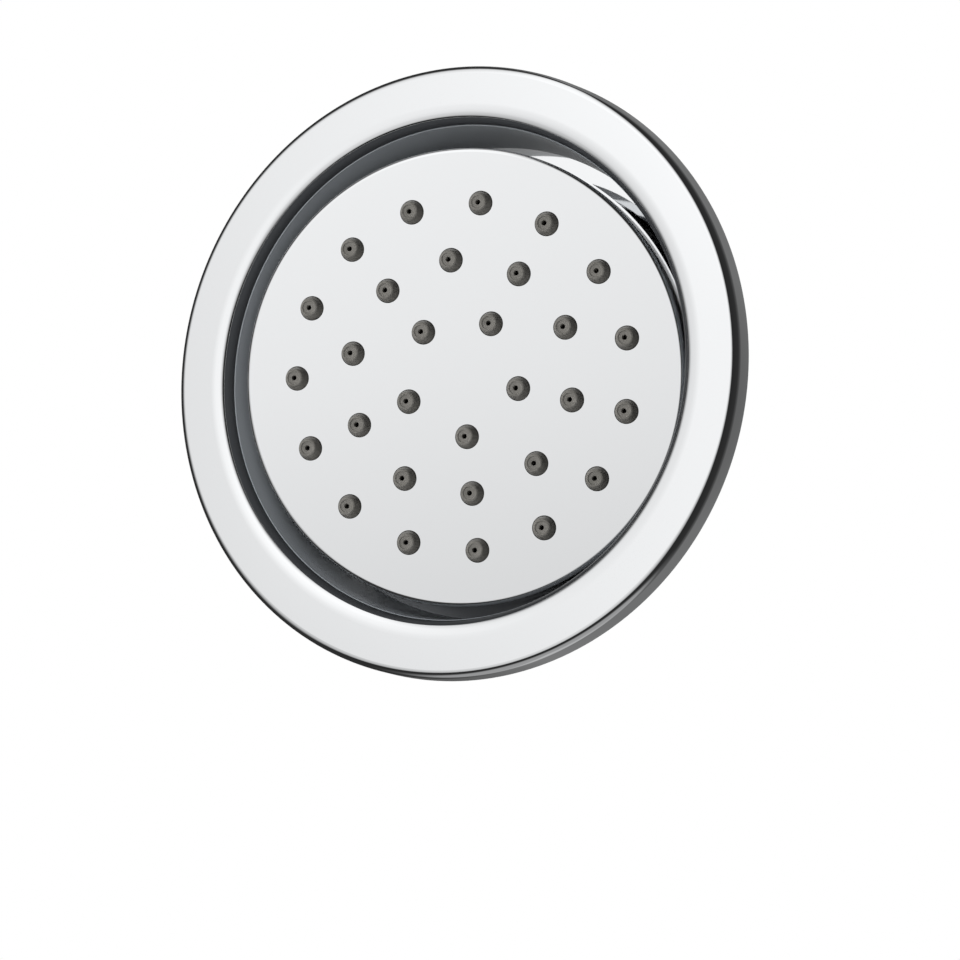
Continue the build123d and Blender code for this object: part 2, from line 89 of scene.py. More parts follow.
def turnPiece(name, corners, steps):  # the outline spun about the Y axis, back in object mode
    piece = drawOutline(name, corners)
    bpy.ops.mesh.select_all(action="SELECT")
    bpy.ops.mesh.delete(type="ONLY_FACE")
    if min(corner[0] for corner in corners) == 0:
        pickVerts(piece, lambda co: co.x < 1e-7)
        bpy.ops.mesh.delete(type="EDGE")  # no edge along the axis itself
    bpy.ops.mesh.select_all(action="SELECT")
    bpy.ops.mesh.spin(steps=steps, angle=2 * pi, center=(0, 0, 0), axis=(0, 1, 0))
    bpy.ops.mesh.select_all(action="SELECT")
    bpy.ops.mesh.remove_doubles(threshold=1e-6)
    bpy.ops.mesh.normals_make_consistent(inside=False)
    bpy.ops.object.mode_set(mode="OBJECT")
    return piece


def roundBar(name, radius, front, back, sides, turn=0):  # a bar along Y, used as a cutter or a blank
    deselectAll()
    middle = (front + back) / 2 * mm
    bpy.ops.mesh.primitive_cylinder_add(vertices=sides, radius=radius * mm, depth=(back - front) * mm,
                                        location=(0, middle, 0), rotation=(pi / 2, radians(turn), 0))
    bar = bpy.context.object
    bar.name = name
    bpy.ops.object.transform_apply(location=True, rotation=True, scale=True)
    return bar


def hexBar(name, acrossFlats, front, back):
    return roundBar(name, acrossFlats / 2 / cos(pi / 6), front, back, 6, 30)


def copyTo(source, spots):  # a joined set of copies at (x, z) in mm, the source goes
    copies = []
    for x, z in spots:
        useOnly(source)
        bpy.ops.object.duplicate(linked=False)
        twin = bpy.context.object
        twin.location = (x * mm, 0, z * mm)
        copies.append(twin)
    bpy.data.objects.remove(source)
    return joinAll(copies)


def joinAll(pieces):
    useOnly(pieces[0])
    for piece in pieces:
        piece.select_set(True)
    bpy.ops.object.transform_apply(location=True, rotation=True, scale=True)
    bpy.ops.object.join()
    return pieces[0]


def cutWith(piece, tool, operation="DIFFERENCE"):
    useOnly(piece)
    cut = piece.modifiers.new("cut", "BOOLEAN")
    cut.operation = operation
    cut.solver = "EXACT"
    cut.object = tool
    bpy.ops.object.modifier_apply(modifier=cut.name)
    bpy.data.objects.remove(tool)


def softenEdges(piece, width, angle):
    useOnly(piece)
    edge = piece.modifiers.new("edge", "BEVEL")
    edge.width = width * mm
    edge.segments = 2
    edge.limit_method = "ANGLE"
    edge.angle_limit = radians(angle)
    bpy.ops.object.modifier_apply(modifier=edge.name)


def ringSpots(radius, count, start=0):
    turns = [radians(start + 360 * k / count) for k in range(count)]
    return [(radius * cos(turn), radius * sin(turn)) for turn in turns]


def spotsOn(rings, start=0):  # rings are (radius, count)
    return [spot for radius, count in rings for spot in ringSpots(radius, count, start)]


def arcPoints(radius, first, last, count):  # section points on a sphere about the ball's centre
    turns = [radians(first + (last - first) * k / count) for k in range(count + 1)]
    return [(radius * cos(turn), radius * sin(turn), 0) for turn in turns]


headPose = {"ballDepth": 12.7, "pan": 7.7, "dip": 4.5}  # mm, degrees right, degrees down


def poseOnBall(piece):
    useOnly(piece)
    piece.location = (0, headPose["ballDepth"] * mm, 0)
    piece.rotation_euler = (radians(headPose["dip"]), 0, radians(headPose["pan"]))
    bpy.ops.object.transform_apply(location=True, rotation=True, scale=True)


def finishPiece(piece, node, body, look, smooth=35, flat=False):
    useOnly(piece)
    bpy.ops.object.transform_apply(location=True, rotation=True, scale=True)
    bpy.ops.object.shade_smooth_by_angle(angle=radians(smooth))
    if flat:  # big flat faces keep their own normals
        weigh = piece.modifiers.new("weigh", "WEIGHTED_NORMAL")
        weigh.weight = 100
        weigh.keep_sharp = True
        bpy.ops.object.modifier_apply(modifier=weigh.name)
    piece.data.materials.clear()
    piece.data.materials.append(look)
    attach(piece, body)
    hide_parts(node)
    print("made", piece.name, len(piece.data.polygons), "faces")


# finishes

def newLook(name, metallic, roughness, color):
    look = bpy.data.materials.new(name)
    look.use_nodes = True
    shader = look.node_tree.nodes["Principled BSDF"]
    shader.inputs["Metallic"].default_value = metallic
    shader.inputs["Roughness"].default_value = roughness
    shader.inputs["Base Color"].default_value = (*color, 1)
    return look, look.node_tree, shader


def objectCoords(tree, stretch=(1, 1, 1)):
    coords = tree.nodes.new("ShaderNodeTexCoord")
    mapping = tree.nodes.new("ShaderNodeMapping")
    mapping.inputs["Scale"].default_value = stretch
    tree.links.new(coords.outputs["Object"], mapping.inputs["Vector"])
    return mapping.outputs["Vector"]


def noiseOn(tree, vector, scale, detail):
    noise = tree.nodes.new("ShaderNodeTexNoise")
    noise.inputs["Scale"].default_value = scale
    noise.inputs["Detail"].default_value = detail
    noise.inputs["Roughness"].default_value = 0.55
    tree.links.new(vector, noise.inputs["Vector"])
    return noise.outputs["Fac"]


def spread(tree, source, low, high, fromLow=0.3, fromHigh=0.7):
    span = tree.nodes.new("ShaderNodeMapRange")
    span.inputs["From Min"].default_value = fromLow
    span.inputs["From Max"].default_value = fromHigh
    span.inputs["To Min"].default_value = low
    span.inputs["To Max"].default_value = high
    tree.links.new(source, span.inputs["Value"])
    return span.outputs["Result"]


def tint(tree, source, first, second, low=0.35, high=0.65):
    ramp = tree.nodes.new("ShaderNodeValToRGB")
    ramp.color_ramp.elements[0].position = low
    ramp.color_ramp.elements[0].color = (*first, 1)
    ramp.color_ramp.elements[1].position = high
    ramp.color_ramp.elements[1].color = (*second, 1)
    tree.links.new(source, ramp.inputs["Fac"])
    return ramp.outputs["Color"]


def bumpFrom(tree, shader, source, strength, distance):
    bump = tree.nodes.new("ShaderNodeBump")
    bump.inputs["Strength"].default_value = strength
    bump.inputs["Distance"].default_value = distance
    tree.links.new(source, bump.inputs["Height"])
    tree.links.new(bump.outputs["Normal"], shader.inputs["Normal"])


def mathNode(tree, operation, *sources):
    node = tree.nodes.new("ShaderNodeMath")
    node.operation = operation
    for source, socket in zip(sources, node.inputs):
        tree.links.new(source, socket)
    return node.outputs["Value"]


def axisParts(tree, stretch=(1, 1, 1)):  # the place's X, Y and Z apart
    apart = tree.nodes.new("ShaderNodeSeparateXYZ")
    tree.links.new(objectCoords(tree, stretch), apart.inputs["Vector"])
    return apart.outputs


chrome = {"color": (0.91, 0.92, 0.93), "roughness": (0.03, 0.055), "markScale": 60, "waveScale": 25,
          "waveBump": (0.03, 0.0004), "bareGloss": 0.1, "rimBand": (0.48, 0.52)}
boreFinishAndPaintedLip = {"front": -4.4, "collar": -2.5, "fade": 0.1, "radius": 43.6, "radiusFade": 0.05,
            "rim": (0.035, 0.037, 0.04), "color": (0.225, 0.241, 0.258), "roughness": 0.3}  # collar bore not polished; the near-black tone on the lip's round is a painted dark reflection
discLowShade = {"top": -33, "fade": 4, "rim": (0.1, 0.105, 0.112), "color": (0.1, 0.105, 0.112),
            "roughness": 0.35}  # painted shade: the disc turns dull dark grey low down


def boreMask(tree):  # half on the lip, where it paints a near-black dark reflection, full in the collar
    place = axisParts(tree)
    flat = tree.nodes.new("ShaderNodeCombineXYZ")
    tree.links.new(place["X"], flat.inputs["X"])
    tree.links.new(place["Z"], flat.inputs["Y"])
    reach = tree.nodes.new("ShaderNodeVectorMath")  # distance from the jet's axis
    reach.operation = "LENGTH"
    tree.links.new(flat.outputs["Vector"], reach.inputs[0])
    steps = [spread(tree, place["Y"], 0, 0.5, (start - boreFinishAndPaintedLip["fade"]) * mm, start * mm)
             for start in (boreFinishAndPaintedLip["front"], boreFinishAndPaintedLip["collar"])]
    edge = boreFinishAndPaintedLip["radius"]
    inside = spread(tree, reach.outputs["Value"], 1, 0, (edge - boreFinishAndPaintedLip["radiusFade"]) * mm, edge * mm)
    return mathNode(tree, "MULTIPLY", mathNode(tree, "ADD", *steps), inside)


# painted shade on the back disc's lower part
def discLowShadeMask(tree):
    top = discLowShade["top"]
    return spread(tree, axisParts(tree)["Z"], 1, 0, (top - discLowShade["fade"]) * mm, top * mm)


def makeChrome(name, dullZone=None, maskOf=None):
    look, tree, shader = newLook(name, 1, 0.04, chrome["color"])
    marks = noiseOn(tree, objectCoords(tree), chrome["markScale"], 5)  # faint drying marks
    polish = spread(tree, marks, *chrome["roughness"])
    wave = noiseOn(tree, objectCoords(tree), chrome["waveScale"], 2)  # plate is never quite flat
    bumpFrom(tree, shader, wave, *chrome["waveBump"])
    if dullZone:
        mask = maskOf(tree)
        rimStart = chrome["rimBand"][0]
        shader.inputs["Specular IOR Level"].default_value = chrome["bareGloss"]
        coat = tree.nodes.new("ShaderNodeValToRGB")  # chrome, then the rim's tone, then the dull zone's tone; on the ring's lip the rim's tone is a painted dark reflection, on the disc the dark is painted shade
        coat.color_ramp.elements[0].color = (*chrome["color"], 1)
        coat.color_ramp.elements[1].color = (*dullZone["color"], 1)
        for place in chrome["rimBand"]:
            coat.color_ramp.elements.new(place).color = (*dullZone["rim"], 1)
        tree.links.new(mask, coat.inputs["Fac"])
        tree.links.new(coat.outputs["Color"], shader.inputs["Base Color"])
        tree.links.new(spread(tree, mask, 1, 0, 0, rimStart), shader.inputs["Metallic"])
        polish = mathNode(tree, "MAXIMUM", polish, spread(tree, mask, 0, dullZone["roughness"], 0, rimStart))
    tree.links.new(polish, shader.inputs["Roughness"])
    return look


satinNut = {"color": (0.62, 0.63, 0.65), "roughness": (0.2, 0.32), "grainScale": 900,
            "stretch": (1, 0.15, 1), "bump": (0.12, 0.0001)}


def makeSatin():
    look, tree, shader = newLook("satinPlate", 1, 0.25, satinNut["color"])
    grain = noiseOn(tree, objectCoords(tree, satinNut["stretch"]), satinNut["grainScale"], 3)
    tree.links.new(spread(tree, grain, *satinNut["roughness"]), shader.inputs["Roughness"])
    bumpFrom(tree, shader, grain, *satinNut["bump"])
    return look


silicone = {"dark": (0.135, 0.13, 0.117), "pale": (0.165, 0.158, 0.145), "roughness": (0.42, 0.6),
            "patchScale": 450, "grainScale": 3500, "bump": (0.12, 0.00008)}


def makeSilicone():
    look, tree, shader = newLook("nozzleSilicone", 0, 0.5, silicone["dark"])
    patch = noiseOn(tree, objectCoords(tree), silicone["patchScale"], 4)
    tree.links.new(tint(tree, patch, silicone["dark"], silicone["pale"]), shader.inputs["Base Color"])
    tree.links.new(spread(tree, patch, *silicone["roughness"]), shader.inputs["Roughness"])
    bumpFrom(tree, shader, noiseOn(tree, objectCoords(tree), silicone["grainScale"], 3), *silicone["bump"])
    return look


sealRubber = {"dark": (0.016, 0.016, 0.016), "pale": (0.03, 0.03, 0.03), "roughness": (0.45, 0.65),
              "bloomScale": 300}


def makeRubber():
    look, tree, shader = newLook("sealRubber", 0, 0.55, sealRubber["dark"])
    bloom = noiseOn(tree, objectCoords(tree), sealRubber["bloomScale"], 4)
    tree.links.new(tint(tree, bloom, sealRubber["dark"], sealRubber["pale"]), shader.inputs["Base Color"])
    tree.links.new(spread(tree, bloom, *sealRubber["roughness"]), shader.inputs["Roughness"])
    return look


foam = {"dark": (0.03, 0.03, 0.032), "pale": (0.07, 0.07, 0.073), "poreScale": 2600, "poreShade": (0.1, 0.5),
        "bump": (0.5, 0.00015)}


def makeFoam():
    look, tree, shader = newLook("gasketFoam", 0, 0.9, foam["pale"])
    pores = tree.nodes.new("ShaderNodeTexVoronoi")
    pores.inputs["Scale"].default_value = foam["poreScale"]
    tree.links.new(objectCoords(tree), pores.inputs["Vector"])
    depth = pores.outputs["Distance"]
    # painted shade: the pores' pits, where the bump sinks, are darker
    color = tint(tree, depth, foam["dark"], foam["pale"], *foam["poreShade"])
    tree.links.new(color, shader.inputs["Base Color"])
    bumpFrom(tree, shader, depth, *foam["bump"])
    return look


mouldSkin = {"cloudScale": 120, "grainScale": 4200, "bump": (0.25, 0.00006)}  # spark grain on all mouldings
moulding = {"dark": (0.022, 0.023, 0.025), "pale": (0.036, 0.037, 0.039), "roughness": (0.38, 0.52)}
acetal = {"dark": (0.74, 0.73, 0.69), "pale": (0.82, 0.81, 0.77), "roughness": (0.3, 0.42)}
inletPlastic = {"dark": (0.25, 0.36, 0.44), "pale": (0.33, 0.45, 0.53), "roughness": (0.35, 0.5)}


def makeMoulding(name, finish):
    look, tree, shader = newLook(name, 0, 0.45, finish["dark"])
    cloud = noiseOn(tree, objectCoords(tree), mouldSkin["cloudScale"], 3)
    tree.links.new(tint(tree, cloud, finish["dark"], finish["pale"]), shader.inputs["Base Color"])
    tree.links.new(spread(tree, cloud, *finish["roughness"]), shader.inputs["Roughness"])
    bumpFrom(tree, shader, noiseOn(tree, objectCoords(tree), mouldSkin["grainScale"], 2), *mouldSkin["bump"])
    return look


brass = {"dark": (0.62, 0.44, 0.19), "pale": (0.76, 0.57, 0.28), "roughness": (0.16, 0.3), "metallic": 0.7,
         "cloudScale": 140, "cloudTint": (0.25, 0.7), "toolMarks": 420, "waver": 1.5, "bump": (0.06, 0.00006)}


def makeBrass():
    look, tree, shader = newLook("turnedBrass", brass["metallic"], 0.22, brass["pale"])
    cloud = noiseOn(tree, objectCoords(tree), brass["cloudScale"], 4)
    color = tint(tree, cloud, brass["dark"], brass["pale"], *brass["cloudTint"])
    tree.links.new(color, shader.inputs["Base Color"])
    lathe = tree.nodes.new("ShaderNodeTexWave")  # tool marks round the Y axis
    lathe.wave_type = "BANDS"
    lathe.bands_direction = "Y"
    lathe.inputs["Scale"].default_value = brass["toolMarks"]
    lathe.inputs["Distortion"].default_value = brass["waver"]
    tree.links.new(objectCoords(tree), lathe.inputs["Vector"])
    tree.links.new(spread(tree, lathe.outputs["Fac"], *brass["roughness"], 0, 1), shader.inputs["Roughness"])
    bumpFrom(tree, shader, lathe.outputs["Fac"], *brass["bump"])
    return look


casting = {"dark": (0.42, 0.43, 0.445), "pale": (0.56, 0.57, 0.585), "roughness": (0.38, 0.55),
           "metallic": 0.45, "cloudScale": 90, "skinScale": 1500, "bump": (0.3, 0.00012)}


def makeCasting():
    look, tree, shader = newLook("castMetal", casting["metallic"], 0.45, casting["pale"])
    cloud = noiseOn(tree, objectCoords(tree), casting["cloudScale"], 5)
    tree.links.new(tint(tree, cloud, casting["dark"], casting["pale"]), shader.inputs["Base Color"])
    tree.links.new(spread(tree, cloud, *casting["roughness"]), shader.inputs["Roughness"])
    skin = noiseOn(tree, objectCoords(tree), casting["skinScale"], 4)  # sand-like cast skin
    bumpFrom(tree, shader, skin, *casting["bump"])
    return look


steel = {"color": (0.56, 0.56, 0.57), "roughness": (0.2, 0.36), "grainScale": 1200, "stretch": (1, 0.2, 1),
         "bump": (0.08, 0.00006)}


def makeSteel():
    look, tree, shader = newLook("plainSteel", 1, 0.28, steel["color"])
    grain = noiseOn(tree, objectCoords(tree, steel["stretch"]), steel["grainScale"], 3)
    tree.links.new(spread(tree, grain, *steel["roughness"]), shader.inputs["Roughness"])
    bumpFrom(tree, shader, grain, *steel["bump"])
    return look


# the back disc carries painted shade low down
discLook = makeChrome("discChrome", discLowShade, discLowShadeMask)
# the ring's lip carries a painted dark reflection
ringLook = makeChrome("ringChrome", boreFinishAndPaintedLip, boreMask)
plateLook = makeChrome("plateChrome")
satinLook = makeSatin()
siliconeLook = makeSilicone()
rubberLook = makeRubber()
foamLook = makeFoam()
mouldingLook = makeMoulding("blackMoulding", moulding)
acetalLook = makeMoulding("whiteAcetal", acetal)
inletLook = makeMoulding("inletMoulding", inletPlastic)
brassLook = makeBrass()
castLook = makeCasting()
steelLook = makeSteel()
print("finishes ready")


# trim ring: flat face rolling softly into a tight lip, a step, the tapered collar, a seal groove outside it
trimRing = {"steps": 224, "openingRadius": 42.6, "face": -4.8, "crown": 12.0, "crownAngle": 8,
            "crownSteps": 6, "lip": 2.0, "lipSteps": 12, "corners": [
                (42.6, -2.5, 0.05), (42.45, -2.5, 0.05), (41.2, 11.3, 0), (44.3, 11.3, 0.3),
                (44.3, 7.25, 0.1), (42.95, 7.25, 0.1), (42.95, 5.75, 0.1), (44.3, 5.75, 0.1),
                (44.3, 0.0, 0.3), (45.4, -2.9, 0.4), (49.3, -2.9, 0.4), (49.3, 0.0, 0.2),
                (52.7, 0.0, 0.25), (52.5, -4.8, 1.4)]}


def lipPoints():  # the crown's arc, then the tight round into the opening
    face, crown, lip = trimRing["face"], trimRing["crown"], trimRing["lip"]
    angle = radians(trimRing["crownAngle"])
    lipRadius = trimRing["openingRadius"] + lip
    lipDepth = face + crown - (crown - lip) * cos(angle)
    crownRadius = lipRadius + (crown - lip) * sin(angle)
    points = []
    for k in range(trimRing["crownSteps"] + 1):
        turn = angle * k / trimRing["crownSteps"]
        points.append((crownRadius - crown * sin(turn), face + crown * (1 - cos(turn)), 0))
    for k in range(1, trimRing["lipSteps"] + 1):
        turn = angle + (pi / 2 - angle) * k / trimRing["lipSteps"]
        points.append((lipRadius - lip * sin(turn), lipDepth - lip * cos(turn), 0))
    return points


ring = turnPiece("trimRing", lipPoints() + trimRing["corners"], trimRing["steps"])
finishPiece(ring, "trim_ring", "fixed", ringLook, flat=True)

# back disc: closes the collar round the ball joint
backDisc = {"steps": 192, "corners": [
    (17.5, 12.5, 0.2), (17.5, 11.3, 0.3), (44.3, 11.3, 0.15), (44.3, 12.5, 0.15)]}
disc = turnPiece("backDisc", backDisc["corners"], backDisc["steps"])
finishPiece(disc, "back_disc", "fixed", discLook, flat=True)

# wall gasket: foam ring in the flange's hollow
wallGasket = {"steps": 160, "corners": [
    (49.0, 0.0, 0.15), (46.4, 0.0, 0.15), (46.4, -2.9, 0.1), (49.0, -2.9, 0.1)]}
gasket = turnPiece("wallGasket", wallGasket["corners"], wallGasket["steps"])
finishPiece(gasket, "wall_gasket", "fixed", foamLook)

# nozzle places, shared by the plate's holes and the mat
nozzlePlan = {"rings": [(10.267, 5), (19.933, 10), (29.6, 15)], "start": 58}  # radius and count, degrees
nozzleSpots = spotsOn(nozzlePlan["rings"], nozzlePlan["start"])

# spray plate: a shallow cap, pierced for the nozzles
sprayPlate = {"sides": 192, "radius": 39.0, "front": -17.5, "back": -16.1, "skirtEnd": -11.0,
              "skirtWall": 1.3, "edgeRound": 0.8, "edgeSteps": 6, "pickMargin": 0.01, "holeRadius": 2.08,
              "holeSpan": (-19, -15), "holeSides": 40, "holeEdge": 0.05}
plate = roundBar("sprayPlate", sprayPlate["radius"], sprayPlate["front"], sprayPlate["skirtEnd"],
                 sprayPlate["sides"])
bpy.ops.object.mode_set(mode="EDIT")
pickVerts(plate, lambda co: co.y > (sprayPlate["skirtEnd"] - sprayPlate["pickMargin"]) * mm)
bpy.ops.mesh.inset(thickness=sprayPlate["skirtWall"] * mm)
hollow = (sprayPlate["back"] - sprayPlate["skirtEnd"]) * mm
bpy.ops.mesh.extrude_region_move(TRANSFORM_OT_translate={"value": (0, hollow, 0)})
pickVerts(plate, lambda co: co.y < (sprayPlate["front"] + sprayPlate["pickMargin"]) * mm)
bpy.ops.mesh.bevel(offset=sprayPlate["edgeRound"] * mm, segments=sprayPlate["edgeSteps"], affect="EDGES")
bpy.ops.object.mode_set(mode="OBJECT")
hole = roundBar("plateHole", sprayPlate["holeRadius"], *sprayPlate["holeSpan"], sprayPlate["holeSides"])
cutWith(plate, copyTo(hole, nozzleSpots))
softenEdges(plate, sprayPlate["holeEdge"], angle=50)
poseOnBall(plate)
finishPiece(plate, "spray_plate", "head", plateLook, flat=True)

# nozzle mat: one hollow cone turned, copied to every place and joined to the mat
nozzleMat = {"steps": 96, "mat": [(0, -16.1, 0), (32.1, -16.1, 0.2), (32.1, -14.8, 0.2), (0, -14.8, 0)],
             "nozzleSteps": 40, "nozzle": [
                 (2.0, -15.6, 0), (2.0, -17.5, 0), (1.5, -19.2, 0.3), (1.14, -19.2, 0.06),
                 (1.02, -19.07, 0.06), (0.42, -19.07, 0.08), (0.42, -17.7, 0), (1.0, -15.6, 0)]}
nozzle = turnPiece("nozzle", nozzleMat["nozzle"], nozzleMat["nozzleSteps"])
nozzles = copyTo(nozzle, nozzleSpots)
mat = turnPiece("nozzleMat", nozzleMat["mat"], nozzleMat["steps"])
mat = joinAll([mat, nozzles])
poseOnBall(mat)
finishPiece(mat, "nozzle_mat", "head", siliconeLook)

# head shell: flange, sloping back, boss for the ball
headShell = {"steps": 128, "corners": [
    (5.2, -10.262, 0.2), (12.0, -10.262, 0.4), (31.05, -12.6, 0), (31.05, -14.8, 0), (32.1, -14.8, 0),
    (32.1, -12.6, 0), (37.4, -12.6, 0.2), (37.4, -10.6, 0.4), (32.1, -10.6, 1.2), (15.7, -6.382, 0.8),
    (12.0, -6.382, 0), (12.0, -1.582, 0.2), (9.75, -1.582, 0.2), (9.75, -7.862, 0), (8.4, -7.862, 0),
    (8.4, -9.412, 0), (6.8, -9.412, 0), (6.8, -7.862, 0), (5.2, -7.862, 0.2)]}
shell = turnPiece("headShell", headShell["corners"], headShell["steps"])
poseOnBall(shell)
finishPiece(shell, "head_shell", "head", mouldingLook)

# head screws: round heads with a hexagon socket
headScrew = {"steps": 32, "circle": 34.9, "count": 6, "socket": 1.1, "socketSpan": (-9.95, -8), "corners": [
    (0, -13.4, 0), (1.25, -13.4, 0.3), (1.25, -10.6, 0), (2.4, -10.6, 0.1), (2.4, -9.3, 0.4), (0, -9.3, 0)]}
screw = turnPiece("headScrews", headScrew["corners"], headScrew["steps"])
cutWith(screw, roundBar("socket", headScrew["socket"], *headScrew["socketSpan"], 6))
screws = copyTo(screw, ringSpots(headScrew["circle"], headScrew["count"]))
screws.name = "headScrews"
poseOnBall(screws)
finishPiece(screws, "head_screws", "head", steelLook)

# swivel nut: spherical inside, eight finger grooves
swivelNut = {"steps": 96, "sphere": 10.65, "arc": (46, -8, 12), "grooves": 8, "grooveRadius": 1.6,
             "grooveSpan": (-7, 10), "grooveSides": 24, "grooveCircle": 15.8, "edge": 0.2, "corners": [
                 (12.05, -1.482, 0), (12.05, -5.682, 0.2), (15.0, -5.682, 0.5), (15.0, 4.518, 1.2),
                 (11.2, 8.261, 0.6), (7.398, 8.261, 0.15)]}
nutArc = arcPoints(swivelNut["sphere"], *swivelNut["arc"])
nut = turnPiece("swivelNut", swivelNut["corners"] + nutArc, swivelNut["steps"])
groove = roundBar("groove", swivelNut["grooveRadius"], *swivelNut["grooveSpan"], swivelNut["grooveSides"])
cutWith(nut, copyTo(groove, ringSpots(swivelNut["grooveCircle"], swivelNut["grooves"])))
softenEdges(nut, swivelNut["edge"], angle=45)
poseOnBall(nut)
finishPiece(nut, "swivel_nut", "head", satinLook)
print("head done")

# ball stem: ball, neck, hexagon shoulder, shank, and a threaded tail
ballStem = {"steps": 96, "ball": 9.0, "arc": (-67.8, 58.52, 30), "acrossFlats": 28.0,
            "hexSpan": (25.175, 27.575), "hexEdge": 0.4, "hexBore": 4.6, "boreSpan": (24, 29),
            "boreSides": 48, "corners": [
                (4.7, 27.0, 0), (12.0, 27.0, 0), (12.0, 40.375, 0.35), (9.28, 40.375, 0),
                (9.28, 53.775, 0.15), (7.5, 53.775, 0.25), (7.5, 46.825, 0), (8.05, 46.825, 0),
                (8.05, 45.775, 0), (7.5, 45.775, 0), (7.5, 40.775, 0), (3.4, 40.775, 0.3)]}
ballArc = [(radius, depth + headPose["ballDepth"], rounding)
           for radius, depth, rounding in arcPoints(ballStem["ball"], *ballStem["arc"])]
stem = turnPiece("ballStem", ballStem["corners"] + ballArc, ballStem["steps"])
hexagon = hexBar("hexagon", ballStem["acrossFlats"], *ballStem["hexSpan"])
softenEdges(hexagon, ballStem["hexEdge"], angle=40)
cutWith(hexagon, roundBar("hexBore", ballStem["hexBore"], *ballStem["boreSpan"], ballStem["boreSides"]))

# the tail's thread: one ridge carried round by a screw, trimmed to the chamfered end
tailThread = {"pitch": 1.814, "turns": 7, "steps": 72, "start": 39.9,  # the ridge's depths are in pitches
              "ridge": [(9.0, 0, 0), (10.48, 0.40, 0.1), (10.48, 0.56, 0.1), (9.0, 0.96, 0)],
              "envelope": [(0, 40.38, 0), (10.6, 40.38, 0), (10.6, 52.5, 0), (9.2, 53.77, 0), (0, 53.77, 0)]}
pitch = tailThread["pitch"]
ridge = drawOutline("thread", [(radius, tailThread["start"] + along * pitch, rounding)
                               for radius, along, rounding in tailThread["ridge"]])
bpy.ops.mesh.select_all(action="SELECT")
bpy.ops.mesh.delete(type="ONLY_FACE")
bpy.ops.object.mode_set(mode="OBJECT")
climb = ridge.modifiers.new("climb", "SCREW")
climb.axis = "Y"
climb.screw_offset = pitch * mm
climb.iterations = tailThread["turns"]
climb.steps = tailThread["steps"]
climb.render_steps = tailThread["steps"]
climb.use_merge_vertices = True
bpy.ops.object.modifier_apply(modifier=climb.name)
bpy.ops.object.mode_set(mode="EDIT")
bpy.ops.mesh.select_all(action="DESELECT")
bpy.ops.mesh.select_mode(type="EDGE")
bpy.ops.mesh.select_non_manifold()
bpy.ops.mesh.edge_face_add()
bpy.ops.mesh.select_mode(type="VERT")
bpy.ops.mesh.select_all(action="SELECT")
bpy.ops.mesh.normals_make_consistent(inside=False)
bpy.ops.object.mode_set(mode="OBJECT")
cutWith(ridge, turnPiece("tailEnvelope", tailThread["envelope"], tailThread["steps"]), "INTERSECT")
stem = joinAll([stem, hexagon, ridge])
finishPiece(stem, "ball_stem", "fixed", brassLook)

# washers and locknut on the shank
stemWasher = {"steps": 96, "corners": [
    (12.12, 27.575, 0.1), (15.5, 27.575, 0.15), (15.5, 28.575, 0.15), (12.12, 28.575, 0.1)]}
washer = turnPiece("stemWasher", stemWasher["corners"], stemWasher["steps"])
finishPiece(washer, "stem_washer", "fixed", rubberLook)

lockWasher = {"steps": 96, "corners": [
    (12.12, 32.575, 0.1), (16.5, 32.575, 0.2), (16.5, 33.775, 0.2), (12.12, 33.775, 0.1)]}
lockPlate = turnPiece("lockWasher", lockWasher["corners"], lockWasher["steps"])
finishPiece(lockPlate, "lock_washer", "fixed", steelLook)

locknut = {"steps": 96, "acrossFlats": 30.0, "span": (33.775, 39.775), "bore": 12.05, "boreSpan": (33, 41),
           "edge": 0.2, "envelope": [(0, 33.775, 0), (14.6, 33.775, 0), (17.4, 35.2, 0), (17.4, 38.35, 0),
                                     (14.6, 39.775, 0), (0, 39.775, 0)]}
jamNut = hexBar("stemLocknut", locknut["acrossFlats"], *locknut["span"])
cutWith(jamNut, turnPiece("nutEnvelope", locknut["envelope"], locknut["steps"]), "INTERSECT")
cutWith(jamNut, roundBar("nutBore", locknut["bore"], *locknut["boreSpan"], locknut["steps"]))
softenEdges(jamNut, locknut["edge"], angle=25)
finishPiece(jamNut, "stem_locknut", "fixed", brassLook)

# carrier: mouth, sloping arms and hub, melted together like a casting
carrier = {"mouthSteps": 160, "hubSteps": 96, "arms": 3, "angle": 50, "width": 8.0, "voxel": 0.4,
           "relax": 0.5, "relaxTimes": 4, "smooth": 80,
           "mouth": [(44.45, 12.5, 0), (44.45, 4.1, 0), (45.65, 4.1, 0), (45.65, 13.7, 0), (42.2, 13.7, 0),
                     (42.2, 12.5, 0)],
           "arm": [(42.2, 12.5, 0), (45.65, 12.5, 0), (45.65, 14.9, 1.0), (22.0, 32.575, 1.5),
                   (13.5, 32.575, 0), (13.5, 28.575, 0), (18.0, 28.575, 1.5), (42.2, 13.7, 0)],
           "hub": [(12.12, 28.575, 0.3), (18.0, 28.575, 0.6), (18.0, 32.575, 0.6), (12.12, 32.575, 0.3)]}
castParts = [turnPiece("castCarrier", carrier["mouth"], carrier["mouthSteps"]),
             turnPiece("hub", carrier["hub"], carrier["hubSteps"])]
for k in range(carrier["arms"]):
    arm = drawOutline("arm", carrier["arm"])
    bpy.ops.mesh.select_all(action="SELECT")
    bpy.ops.transform.translate(value=(0, 0, -carrier["width"] / 2 * mm))
    bpy.ops.mesh.extrude_region_move(TRANSFORM_OT_translate={"value": (0, 0, carrier["width"] * mm)})
    bpy.ops.mesh.select_all(action="SELECT")
    bpy.ops.mesh.normals_make_consistent(inside=False)
    bpy.ops.object.mode_set(mode="OBJECT")
    arm.rotation_euler = (0, -radians(carrier["angle"] + 360 * k / carrier["arms"]), 0)
    castParts.append(arm)
basket = joinAll(castParts)
